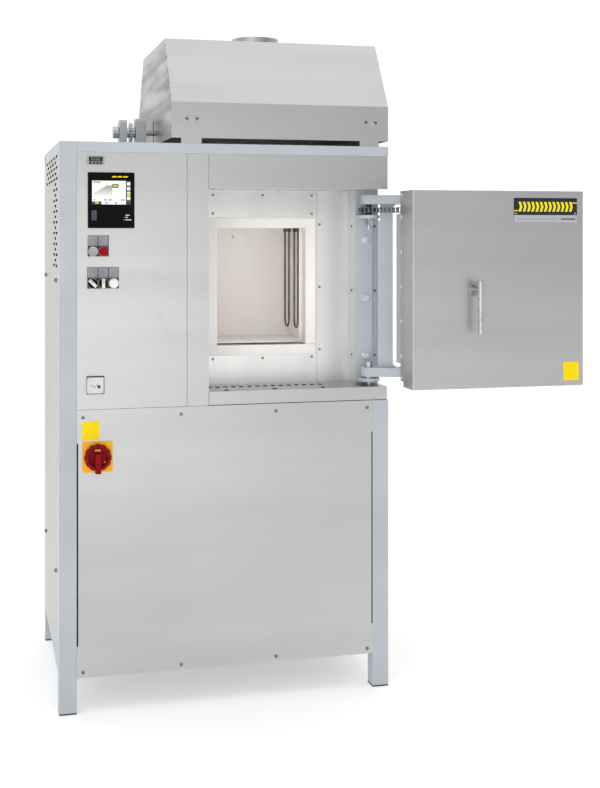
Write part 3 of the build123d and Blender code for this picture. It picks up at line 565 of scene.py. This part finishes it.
def stacked(outline, levels, centre, axes):
    # an outline repeated at each level, a height along the third axis and an inset that draws it in;
    # the first and last insets close the ends
    outline = np.array(outline, float)
    reach = np.abs(outline).max(0)
    rings = []
    for height, inset in levels:
        share = np.clip((reach - inset) / reach, 0, 1)
        flat = outline * share
        rings.append(flat[:, 0:1] * axes[0] + flat[:, 1:2] * axes[1] + height * np.array(axes[2]))
    points = np.array(centre) + np.array(rings)
    return points.reshape(-1, 3), gridFaces(len(levels), len(outline))


def roundedOutline(width, height, corner, steps=5):
    # a rectangle about its middle whose corners are quarter circles
    turn = np.linspace(0, pi / 2, steps)
    arcs = []
    for k, (sx, sy) in enumerate(((1, 1), (-1, 1), (-1, -1), (1, -1))):
        x = sx * (width / 2 - corner) + corner * np.cos(turn + k * pi / 2)
        y = sy * (height / 2 - corner) + corner * np.sin(turn + k * pi / 2)
        arcs.append(np.stack([x, y], -1))
    return np.concatenate(arcs)


def frontPlate(low, high, corner, edge):
    # a plate whose face looks to -Y: rounded outline, straight side, chamfered face edge, closed ends
    low, high = np.array(low, float), np.array(high, float)
    size = high - low
    back = np.array([(low[0] + high[0]) / 2, high[1], (low[2] + high[2]) / 2])
    levels = [(0, 1), (0, 0), (size[1] - edge, 0), (size[1], edge), (size[1], 1)]
    axes = np.array([[1, 0, 0], [0, 0, 1], [0, -1, 0]])
    return stacked(roundedOutline(size[0], size[2], corner), levels, back, axes)


def carried(path, radius, flatAxis, sides=12):
    # a circle carried along a path that lies square to flatAxis, drawn to a point at both ends
    path = np.array(path, float)
    flat = np.array(flatAxis, float)
    along = np.gradient(path, axis=0)
    along /= np.linalg.norm(along, axis=1)[:, None]
    out = np.cross(along, flat)
    turn = np.linspace(0, 2 * pi, sides, endpoint=False)
    girth = np.full(len(path), radius)
    girth[[0, -1]] = 0
    ring = np.cos(turn)[None, :, None] * out[:, None] + np.sin(turn)[None, :, None] * flat
    points = path[:, None] + girth[:, None, None] * ring
    return points.reshape(-1, 3), gridFaces(len(path), sides)


# creases sharper than this stay sharp, and edges sharper than the second angle are softened
creaseAngle, softAngle = radians(32), radians(35)


def finished(name, mesh, node, finish, edge, replaced):
    # an object with one finish and softened edges, which rides with the node's body
    made = bpy.data.objects.new(name, mesh)
    bpy.context.scene.collection.objects.link(made)
    mesh.materials.clear()
    mesh.materials.append(finishes[finish])
    mesh.shade_smooth()
    mesh.set_sharp_from_angle(angle=creaseAngle)
    if edge:
        bevel = made.modifiers.new("softEdge", "BEVEL")
        bevel.width = edge
        bevel.segments = 2
        bevel.limit_method = "ANGLE"
        bevel.angle_limit = softAngle
        bevel.harden_normals = True
        weighted = made.modifiers.new("flatFaces", "WEIGHTED_NORMAL")
        weighted.keep_sharp = True
    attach(made, bodyOf[node])
    if replaced:
        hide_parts(node)


def piece(name, shape, node, finish, edge=0, replaces=False):
    # point and face arrays to an object; doubles merged, faces turned outwards
    points, faces = shape
    mesh = bpy.data.meshes.new(name)
    mesh.from_pydata(points.tolist(), [], faces.tolist())
    work = bmesh.new()
    work.from_mesh(mesh)
    bmesh.ops.remove_doubles(work, verts=work.verts, dist=1e-6)
    bmesh.ops.recalc_face_normals(work, faces=work.faces)
    work.to_mesh(mesh)
    work.free()
    finished(name, mesh, node, finish, edge, replaces)


def softened(node, edge, finish=None):
    # a merged copy of a node's own shape with its edges rounded, in the node's place
    mesh = frame["nodes"][node].data.copy()
    mesh.name = node + "Soft"
    work = bmesh.new()
    work.from_mesh(mesh)
    bmesh.ops.remove_doubles(work, verts=work.verts, dist=2e-5)
    bmesh.ops.dissolve_limit(work, angle_limit=radians(0.5), verts=work.verts, edges=work.edges)
    work.to_mesh(mesh)
    work.free()
    finished(mesh.name, mesh, node, finish or slotOf[node], edge, True)


# nodes whose finish isn't the one named by their slot
ownFinish = {
    "recess_panels": "recessStainlessPaintedLightKey", "left_side_panel": "sideSteelPaintedShade",
    "right_side_panel": "stainlessUpright", "rear_panel": "stainlessUpright", "top_cover": "stainlessDeep",
    "duct_collar": "stainlessUpright", "chamber_lining": "floorTiles", "interface_frame": "frameBlack",
    "interface_flap": "paleFlap", "hood_shell": "hoodSteelShadedEnds", "hinge_bolts": "zincBolt",
}
for node, slot in slotOf.items():
    for holder in frame["nodes"][node].material_slots:
        holder.material = finishes[ownFinish.get(node, slot)]

# width of the softened edge of each node
softEdges = {
    "frame_posts": 0.003, "frame_rails": 0.003, "foot_caps": 0.001, "upper_arm": 0.0018,
    "lower_arm": 0.0018, "arm_web": 0.001, "hinge_bracket": 0.0012, "collar_lining": 0.0008,
    "plug_casing": 0.0015, "plug_insulation": 0.003, "bearing_blocks": 0.001, "door_front_shell": 0.0012,
    "door_rear_frame": 0.0008, "power_controller": 0.001, "transformer": 0.001,
    "controller_case": 0.0005, "hinge_bolts": 0.0006, "hinge_pins": 0.0008, "main_switch_knob": 0.0007,
    "main_switch_plate": 0.0006, "panel_meter": 0.0005, "door_handle": 0.0005, "handle_rosette": 0.0004,
    "vent_shaft": 0.0007, "vent_flap": 0.001, "interface_flap": 0.0004, "fixed_sprocket": 0.0004,
    "door_sprocket": 0.0004, "hood_brackets": 0.0005, "recess_shelf": 0.0005,
}
for node, edge in softEdges.items():
    softened(node, edge, ownFinish.get(node))
print("carried-over pieces dressed")


screw = {"socketShare": 0.4, "hexagonHole": 0.001, "sides": 18}


def separateBoxes(node):
    # lowest and highest corner of each loose shell: every point takes the least label of its neighbours
    mesh = frame["nodes"][node].data
    points = np.empty(len(mesh.vertices) * 3)
    mesh.vertices.foreach_get("co", points)
    edges = np.empty(len(mesh.edges) * 2, int)
    mesh.edges.foreach_get("vertices", edges)
    points = points.reshape(-1, 3)
    _, same = np.unique(np.round(points / 2e-5).astype(int), axis=0, return_inverse=True)
    same = same.reshape(-1)
    first, second = same[edges.reshape(-1, 2)].T
    label = np.arange(same.max() + 1)
    settled = False
    while not settled:
        fresh = label.copy()
        np.minimum.at(fresh, first, label[second])
        np.minimum.at(fresh, second, label[first])
        fresh = fresh[fresh]
        settled = bool((fresh == label).all())
        label = fresh
    _, shell = np.unique(label[same], return_inverse=True)
    low = np.full((shell.max() + 1, 3), np.inf)
    high = -low
    np.minimum.at(low, shell.reshape(-1), points)
    np.maximum.at(high, shell.reshape(-1), points)
    return low, high


def makeScrews(node, name, finish):
    # pan heads with a driver hole; the four on the hood are hexagons
    shapes = []
    rightFace = corners("right_side_panel")[1][0]
    for low, high in zip(*separateBoxes(node)):
        size = high - low
        axis = int(np.argmin(size))
        across = np.delete(size, axis)
        hexagon = abs(across[0] - across[1]) > 0.05 * across.max()
        outward = np.zeros(3)
        outward[axis] = 1 if axis == 0 and high[0] > rightFace else -1
        centre = (low + high) / 2
        centre[axis] = low[axis] if outward[axis] > 0 else high[axis]
        radius, height = across.max() / 2, size[axis]
        hole = screw["hexagonHole"] if hexagon else radius * screw["socketShare"]
        profile = [(0, 0), (radius, 0), (radius, height * 0.5), (radius * 0.94, height * 0.78),
                   (radius * 0.74, height * 0.96), (hole * 1.2, height), (hole, height * 0.95),
                   (hole * 0.9, height * 0.4), (0, height * 0.35)]
        shapes.append(lathe(profile, centre, outward, 6 if hexagon else screw["sides"]))
    piece(name, joined(shapes), node, finish, replaces=True)


makeScrews("panel_screws", "panelScrews", "screw_steel")
# the door screws take the near-white finish of painted highlight
makeScrews("door_screws", "doorScrews", "doorScrew")

washer = {"hole": 0.003, "radius": 0.0078, "thick": 0.0012}


def makeWashers():
    # a flat washer under each of the screws on the hood front, which stand out furthest
    low, high = separateBoxes("panel_screws")
    hoodFront = corners("hood_shell")[0][1]
    hole, radius, thick = washer["hole"], washer["radius"], washer["thick"]
    ring = [(hole, 0), (radius, 0), (radius, thick * 0.6), (radius * 0.94, thick), (hole, thick), (hole, 0)]
    onHood = (high[:, 2] > corners("hood_shell")[0][2]) & (low[:, 1] < hoodFront)
    shapes = [lathe(ring, ((a[0] + b[0]) / 2, hoodFront, (a[2] + b[2]) / 2), (0, -1, 0), 32)
              for a, b in zip(low[onHood], high[onHood])]
    piece("hoodWashers", joined(shapes), "hood_shell", "zincBolt")


makeWashers()

hoodRivet = {"radius": 0.0028, "height": 0.0016, "inset": 0.0132, "first": 0.02, "upright": 3, "sloped": 5}
# the hood's front edge: upright as far as the fold, then a slope that runs back
hoodFold = {"height": 0.105, "run": 0.131}


def makeRivets():
    # rivets along the upright and sloped front edges of both hood ends
    low, high = corners("hood_shell")
    path = np.array([[low[1], low[2] + hoodRivet["first"]], [low[1], low[2] + hoodFold["height"]],
                     [low[1] + hoodFold["run"], high[2]]])
    radius, height, inset = hoodRivet["radius"], hoodRivet["height"], hoodRivet["inset"]
    dome = [(0, 0), (radius, 0), (radius * 0.8, height * 0.7), (0, height)]
    shapes = []
    for x, side in ((low[0], 1), (high[0], -1)):
        for start, end, count in zip(path[:-1], path[1:], (hoodRivet["upright"], hoodRivet["sloped"])):
            for share in (np.arange(count) + 0.5) / count:
                y, z = start + (end - start) * share
                shapes.append(lathe(dome, (x, y + inset, z), (-side, 0, 0), 10))
    piece("hoodRivets", joined(shapes), "hood_shell", "screw_steel")


makeRivets()
print("screws and rivets made")


chain = {
    "links": 60, "teeth": 14, "roller": 0.0038, "pin": 0.0018, "plateReach": 0.0047, "waist": 0.3,
    "innerPlate": (0.0050, 0.0064), "outerPlate": (0.0066, 0.0080), "pinReach": 0.0084,
}


def chainPins(start, direction, pitch):
    # pin k of the loop: a straight run, half a turn round the far wheel, the run back, half a turn home
    run = (chain["links"] - chain["teeth"]) // 2
    half = chain["teeth"] // 2
    radius = pitch / (2 * sin(pi / chain["teeth"]))
    k = np.arange(chain["links"] + 1) % chain["links"]
    step = 2 * pi / chain["teeth"]
    far = -pi / 2 + (k - run) * step
    near = pi / 2 + (k - 2 * run - half) * step
    zone = [k < run, k < run + half, k < 2 * run + half]
    along = np.select(zone, [k * pitch, run * pitch + radius * np.cos(far), (2 * run + half - k) * pitch],
                      radius * np.cos(near))
    aside = np.select(zone, [-radius + 0 * k, radius * np.sin(far), radius + 0 * k], radius * np.sin(near))
    square = np.array([-direction[1], direction[0]])
    return start + along[:, None] * direction + aside[:, None] * square


def makeChain():
    # the loop lies round both wheels, with inner and outer links in turn
    nearWheel, farWheel = middle("fixed_sprocket")[:2], middle("door_sprocket")[:2]
    reach = np.linalg.norm(farWheel - nearWheel)
    pitch = 2 * reach / (chain["links"] - chain["teeth"])
    level = middle("drive_chain")[2]
    pins = chainPins(nearWheel, (farWheel - nearWheel) / reach, pitch)
    # side plate outline: two lobes round the pins with a waist between them
    turn = np.linspace(0, 2 * pi, 20, endpoint=False)
    lobe = np.clip(3 * np.cos(turn), -1, 1)
    outline = np.stack([pitch / 2 * lobe + chain["plateReach"] * np.cos(turn),
                        chain["plateReach"] * np.sin(turn) * (1 - chain["waist"] * (1 - np.abs(lobe)))], -1)
    radius, tall, pin, tip = chain["roller"], chain["innerPlate"][0], chain["pin"], chain["pinReach"]
    barrel = [(0, -tall), (radius * 0.9, -tall), (radius, -tall * 0.8), (radius, tall * 0.8),
              (radius * 0.9, tall), (0, tall)]
    shaft = [(0, -tip), (pin * 0.8, -tip), (pin, -tip * 0.95), (pin, tip * 0.95),
             (pin * 0.8, tip), (0, tip)]
    plates, rollers = [], []
    for k in range(chain["links"]):
        ahead = (pins[k + 1] - pins[k]) / np.linalg.norm(pins[k + 1] - pins[k])
        axes = np.array([[ahead[0], ahead[1], 0], [-ahead[1], ahead[0], 0], [0, 0, 1]])
        low, high = chain["outerPlate"] if k % 2 else chain["innerPlate"]
        centre = (*((pins[k] + pins[k + 1]) / 2), level)
        edge = (high - low) * 0.25
        for bottom in (low, -high):
            top = bottom + high - low
            levels = [(bottom, 1), (bottom, edge), (bottom + edge, 0),
                      (top - edge, 0), (top, edge), (top, 1)]
            plates.append(stacked(outline, levels, centre, axes))
        rollers.append(lathe(barrel, (*pins[k], level), (0, 0, 1), 14))
        rollers.append(lathe(shaft, (*pins[k], level), (0, 0, 1), 10))
    piece("chainPlates", joined(plates), "drive_chain", "chain_steel", replaces=True)
    piece("chainRollers", joined(rollers), "drive_chain", "chainRoller")


makeChain()
print("chain made")


controller = {
    "lightInset": 0.0304, "lights": {"ledRed": 0.031, "ledYellow": 0.024}, "lightRadius": 0.0014,
    "lightProud": 0.001, "ruleGap": 0.004, "ruleTall": 0.0022, "ruleCorner": 0.0003,
    "rules": ((0.0361, 0.012), (0.0299, 0.007), (0.0229, 0.017)),
    "strokes": 3, "strokeInset": 0.058, "strokePitch": 0.016, "strokeWide": 0.013,
    "strokeBottom": 0.0145, "strokeTop": 0.0105, "strokeCorner": 0.0006, "strokeSlant": 0.5,
    "proud": 0.0003, "edge": 0.0001, "rimWide": 0.0012, "rimRadius": 0.0004,
}


def makeController():
    look = controller
    low, high = corners("controller_case")
    back, face = low[1], low[1] - look["proud"]
    # indicator lights, low on the right, and three short pale rules beside them
    lightX = high[0] - look["lightInset"]
    radius, proud = look["lightRadius"], look["lightProud"]
    dome = [(0, 0), (radius, 0), (radius * 6 / 7, proud * 0.5), (radius * 3 / 7, proud * 0.9), (0, proud)]
    for name, height in look["lights"].items():
        piece(name + "Lens", lathe(dome, (lightX, back, low[2] + height), (0, -1, 0), 16),
              "controller_case", name)
    left, foot = lightX + look["ruleGap"], low[2]
    rules = [frontPlate((left, face, foot + height), (left + wide, back, foot + height + look["ruleTall"]),
                        look["ruleCorner"], look["edge"]) for height, wide in look["rules"]]
    piece("lightRules", joined(rules), "controller_case", "selectorWhite")
    # an accent of three slanting strokes above the screen
    strokes = []
    for k in range(look["strokes"]):
        left = high[0] - look["strokeInset"] + look["strokePitch"] * k
        strokes.append(frontPlate((left, face, high[2] - look["strokeBottom"]),
                                  (left + look["strokeWide"], back, high[2] - look["strokeTop"]),
                                  look["strokeCorner"], look["edge"]))
    points, faces = joined(strokes)
    points[:, 0] += (points[:, 2] - high[2]) * look["strokeSlant"]
    piece("accentStrokes", (points, faces), "controller_case", "labelYellow")
    # thin raised rim round the screen window: a circle carried round a rounded rectangle
    screenLow, screenHigh = corners("controller_screen")
    rim = look["rimWide"]
    size = screenHigh - screenLow + 2 * rim
    turn = roundedOutline(size[0], size[2], rim)
    centre = (screenLow + screenHigh) / 2
    loop = np.stack([centre[0] + turn[:, 0], np.full(len(turn), back), centre[2] + turn[:, 1]], -1)
    sides = 8
    around = np.linspace(0, 2 * pi, sides, endpoint=False)
    outward = np.stack([np.sign(turn[:, 0]), 0 * turn[:, 0], np.sign(turn[:, 1])], -1) / np.sqrt(2)
    ring = (np.cos(around)[None, :, None] * outward[:, None]
            + np.sin(around)[None, :, None] * np.array([0, 1, 0]))
    points = loop[:, None] + look["rimRadius"] * ring
    faces = gridFaces(len(turn) + 1, sides) % (len(turn) * sides)
    piece("screenRim", (points.reshape(-1, 3), faces), "controller_case", "controller_plastic")


# places on the meter's face as shares of its width and height: left, right, bottom, top
meter = {
    "window": (0.1, 0.9, 0.36, 0.9), "windowProud": 0.0004,
    "key": (0.12, 0.26, 0.08, 0.28), "keys": 4, "keyPitch": 0.2, "keyProud": 0.0009,
    "figures": 4, "figureLeft": 0.24, "figurePitch": 0.14, "figureProud": 0.0006,
    "bars": ((0, 0.08, 0.48, 0.52), (0, 0.08, 0.62, 0.65), (0, 0.08, 0.76, 0.8),
             (0, 0.018, 0.5, 0.78), (0.062, 0.08, 0.5, 0.78)),
    "corner": 0.0006, "edge": 0.0002,
}


def makeMeter():
    low, high = corners("panel_meter")
    width, height, front = high[0] - low[0], high[2] - low[2], low[1]

    def spot(shares, aside, proud):
        left, right, bottom, top = shares
        return frontPlate((low[0] + width * (left + aside), front - proud, low[2] + height * bottom),
                          (low[0] + width * (right + aside), front, low[2] + height * top),
                          meter["corner"], meter["edge"])

    piece("meterWindow", spot(meter["window"], 0, meter["windowProud"]), "panel_meter", "meterDark")
    keys = [spot(meter["key"], meter["keyPitch"] * k, meter["keyProud"]) for k in range(meter["keys"])]
    piece("meterKeys", joined(keys), "panel_meter", "selector_black")
    # four figures on the display, each a ring of bars with one bar across
    bars = [spot(bar, meter["figureLeft"] + meter["figurePitch"] * k, meter["figureProud"])
            for k in range(meter["figures"]) for bar in meter["bars"]]
    piece("meterFigures", joined(bars), "panel_meter", "meter_plastic")


cap = {"depth": 0.004, "stemShare": 0.68, "stemDepth": 0.026}


def makeCaps():
    # caps: a shallow dish inside a rounded rim, on a black stem
    for node, name in (("start_button", "startCap"), ("stop_button", "stopCap")):
        low, high = corners(node)
        centre = middle(node)
        radius, depth = (high[0] - low[0]) / 2, cap["depth"]
        centre[1] = low[1] + depth
        profile = [(0, 0), (radius, 0), (radius, depth * 0.7), (radius * 0.95, depth * 0.94),
                   (radius * 0.88, depth), (radius * 0.8, depth * 0.96), (radius * 0.74, depth * 0.72),
                   (radius * 0.4, depth * 0.6), (0, depth * 0.56)]
        piece(name, lathe(profile, centre, (0, -1, 0), 40), node, slotOf[node], replaces=True)
        stem, back = radius * cap["stemShare"], -cap["stemDepth"]
        piece(name + "Stem", lathe([(0, back), (stem, back), (stem, 0), (0, 0)], centre, (0, -1, 0), 24),
              node, "selector_black")


selector = {
    "levers": (("left_selector", "leftLever", -45), ("right_selector", "rightLever", 0)),
    "level": 0.0163, "discRadius": 0.0137, "discTop": 0.0073, "neckRadius": 0.0094, "neckDepth": 0.02,
    "leverWide": 0.0092, "leverReach": 0.014, "leverCorner": 0.002, "leverFoot": 0.006, "leverTop": 0.0162,
    "stripeWide": 0.0014, "stripeShare": 0.45, "stripeTop": 0.01628, "close": 0.01,
}


def makeSelectors():
    # a dished disc on a neck, a tapered lever across it and a stripe along the lever's upper half
    look = selector
    radius, reach, close = look["discRadius"], look["leverReach"], look["close"]
    neck, back, foot, top = look["neckRadius"], -look["neckDepth"], look["leverFoot"], look["leverTop"]
    disc = [(0, back), (neck, back), (neck, 0), (radius, 0), (radius, look["discTop"] - 0.0008),
            (radius * 0.9, look["discTop"]), (radius * 0.6, look["discTop"] - 0.0007),
            (0, look["discTop"] - 0.0009)]
    levels = [(foot, close), (foot, 0), (top - 0.0017, 0.0006), (top, 0.0018), (top, close)]
    low, high = top - 0.0002, look["stripeTop"]
    stripeLevels = [(low, close), (low, 0), (high, 0), (high, close)]
    for node, name, turn in look["levers"]:
        centre = middle(node)
        centre[1] = corners(node)[0][1] + look["level"]
        piece(name + "Disc", lathe(disc, centre, (0, -1, 0), 40), node, "selector_black", replaces=True)
        angle = radians(turn)
        axes = np.array([[cos(angle), 0, -sin(angle)], [sin(angle), 0, cos(angle)], [0, -1, 0]])
        lever = roundedOutline(look["leverWide"], 2 * reach, look["leverCorner"])
        piece(name, stacked(lever, levels, centre, axes), node, "selectorWhite")
        stripe = roundedOutline(look["stripeWide"], reach, 0.0004)
        upper = centre + reach * look["stripeShare"] * axes[1]
        piece(name + "Stripe", stacked(stripe, stripeLevels, upper, axes), node, "selector_black")


switchMark = {
    "holeRadius": 0.0026, "holeDepth": 0.001, "holeDrop": 0.016, "discDepth": 0.021,
    "dotAside": 0.02, "dotDrop": 0.014, "tabHalf": 0.008, "tabBottom": 0.0165, "tabTop": 0.0225,
}


def makeSwitchMarks():
    # a black disc on the grip as the painted shade of a padlock hole, and a yellow dot and tab on the sunk
    # disc
    look = switchMark
    low, _ = corners("main_switch_knob")
    x, _, z = middle("main_switch_plate")
    radius, depth = look["holeRadius"], look["holeDepth"]
    # the hole is a dark disc that stands for the shade inside it, not a real opening
    hole = [(0, -depth), (radius, -depth), (radius, depth * 0.1), (0, depth * 0.1)]
    piece("gripHoleShade", lathe(hole, (x, low[1], z - look["holeDrop"]), (0, -1, 0), 20),
          "main_switch_knob", "paintedHoleShade")
    floor = low[1] + look["discDepth"]
    dot = [(0, 0), (0.0026, 0), (0.0024, 0.0005), (0, 0.0005)]
    half = look["tabHalf"]
    spots = [lathe(dot, (x + look["dotAside"], floor, z - look["dotDrop"]), (0, -1, 0), 16),
             frontPlate((x - half, floor - 0.0006, z + look["tabBottom"]),
                        (x + half, floor, z + look["tabTop"]), 0.001, 0.0002)]
    piece("switchMarks", joined(spots), "main_switch_knob", "switch_yellow")


# places on the flap as shares of its width and height; the wave is counted in half turns of a sine
flapMark = {
    "sunk": 0.0016, "radius": 0.0006, "steps": 40, "left": 0.2, "run": 0.45, "level": 0.42, "swing": 0.1,
    "rise": 0.08, "halfTurns": 2.6, "plug": (0.63, 0.8, 0.33, 0.52),
}


def makeFlapMark():
    # a drawn plug lead on the interface flap: a double bend that ends in a block
    look = flapMark
    low, high = corners("interface_flap")
    front = low[1] + look["sunk"]
    share = np.linspace(0, 1, look["steps"])
    width, height = high[0] - low[0], high[2] - low[2]
    wave = look["level"] + look["swing"] * np.sin(share * look["halfTurns"] * pi) + look["rise"] * share
    path = np.stack([low[0] + width * (look["left"] + look["run"] * share), np.full(look["steps"], front),
                     low[2] + height * wave], -1)
    left, right, bottom, top = look["plug"]
    plug = frontPlate((low[0] + width * left, front - 0.0003, low[2] + height * bottom),
                      (low[0] + width * right, front + 0.0002, low[2] + height * top), 0.001, 0.0002)
    points, faces = joined([carried(path, look["radius"], (0, 1, 0)), plug])
    points[:, 1] = np.maximum(points[:, 1], low[1])
    piece("flapMark", (points, faces), "interface_flap", "frameBlack")


label = {
    "thick": 0.0006, "corner": 0.001, "edge": 0.0002, "switchSize": (0.049, 0.053),
    "switchShift": (-0.001, 0.004), "doorSize": (0.0504, 0.055), "doorShift": (-0.0444, 0.0156),
    "rivetRadius": 0.0036, "rivetInset": 0.006, "rivetShare": 0.37,
}


def makeLabels():
    # plain yellow plates: one above the main switch, one low on the door; two rivets on the door plate
    thick = label["thick"]
    switchLow, switchHigh = corners("main_switch_plate")
    doorLow, _ = corners("door_front_shell")
    plateLow, plateHigh = corners("name_plate")
    panelFront = corners("lower_front_panel")[0][1]
    for name, node, x, front, z, shift, size in (
            ("switchLabel", "lower_front_panel", switchLow[0], panelFront, switchHigh[2],
             label["switchShift"], label["switchSize"]),
            ("doorLabel", "door_front_shell", plateHigh[0], doorLow[1], doorLow[2],
             label["doorShift"], label["doorSize"])):
        corner = np.array([x + shift[0], front - thick, z + shift[1]])
        piece(name, frontPlate(corner, corner + (size[0], thick, size[1]), label["corner"], label["edge"]),
              node, "labelYellow")
    head = [(0, 0), (label["rivetRadius"], 0), (label["rivetRadius"] * 5 / 6, 0.0008), (0, 0.0012)]
    level = plateLow[2] + (plateHigh[2] - plateLow[2]) * label["rivetShare"]
    rivets = [lathe(head, (x, plateLow[1], level), (0, -1, 0), 16)
              for x in (plateLow[0] + label["rivetInset"], plateHigh[0] - label["rivetInset"])]
    piece("plateRivets", joined(rivets), "name_plate", "bezel_metal")


makeController()
makeMeter()
makeCaps()
makeSelectors()
makeSwitchMarks()
makeFlapMark()
makeLabels()
print("controls made")


def makeStage():
    # a level floor that runs out to the horizon on every side
    half, count = stage["floorHalf"], 9
    line = np.linspace(-half, half, count)
    x, y = np.meshgrid(line, line)
    points = np.stack([x, y, 0 * x], -1).reshape(-1, 3)
    mesh = bpy.data.meshes.new("floor")
    mesh.from_pydata(points.tolist(), [], gridFaces(count, count, False).tolist())
    floor = bpy.data.objects.new("floor", mesh)
    bpy.context.scene.collection.objects.link(floor)
    finish = Finish("paleFloor")
    speck = finish.noise(finish.place(), 30, 3)
    color = finish.mix(speck, stage["floorColor"], stage["floorSpeck"])
    mesh.materials.append(finish.surface(color=color, rough=0.8, glow=color, glowPower=stage["floorGlow"]))


def makeLight():
    # a sky that is bright behind and falls off towards the front right, so that the door shades across
    sky = Finish("studio", sky=True)
    side, ahead, _ = sky.axes(sky.node("ShaderNodeTexCoord", output="Generated"))
    fall = side.ramp(0.1, 0.6) * (1 - ahead.ramp(-0.7, -0.1))
    power = stage["sky"] - fall * (stage["sky"] - stage["skyRight"])
    power = power + ahead.ramp(0.2, 0.65) * (stage["skyBehind"] - stage["sky"])
    light = sky.node("ShaderNodeBackground", None, {"Color": (1, 1, 1, 1), "Strength": power})
    sky.node("ShaderNodeOutputWorld", None, {"Surface": light})
    bpy.context.scene.world = sky.material
    for name, (place, aim, size, power) in lamps.items():
        areaLight(name, place, aim, size, power)
    # two weak lamps that look into the kiln: one in the chamber's mouth, one just behind the front
    mouth = middle("collar_lining")
    areaLight("chamberLight", mouth, mouth + (0, 1, 0), *stage["chamberLamp"])
    front = mouth * (1, 0, 1) + (0, corners("front_fascias")[0][1], 0) + stage["recessLampShift"]
    areaLight("recessLight", front, front + (0, 1, 0), *stage["recessLamp"])


makeCamera()
makeStage()
makeLight()
bpy.context.scene.view_settings.view_transform = "Standard"

print("all made")
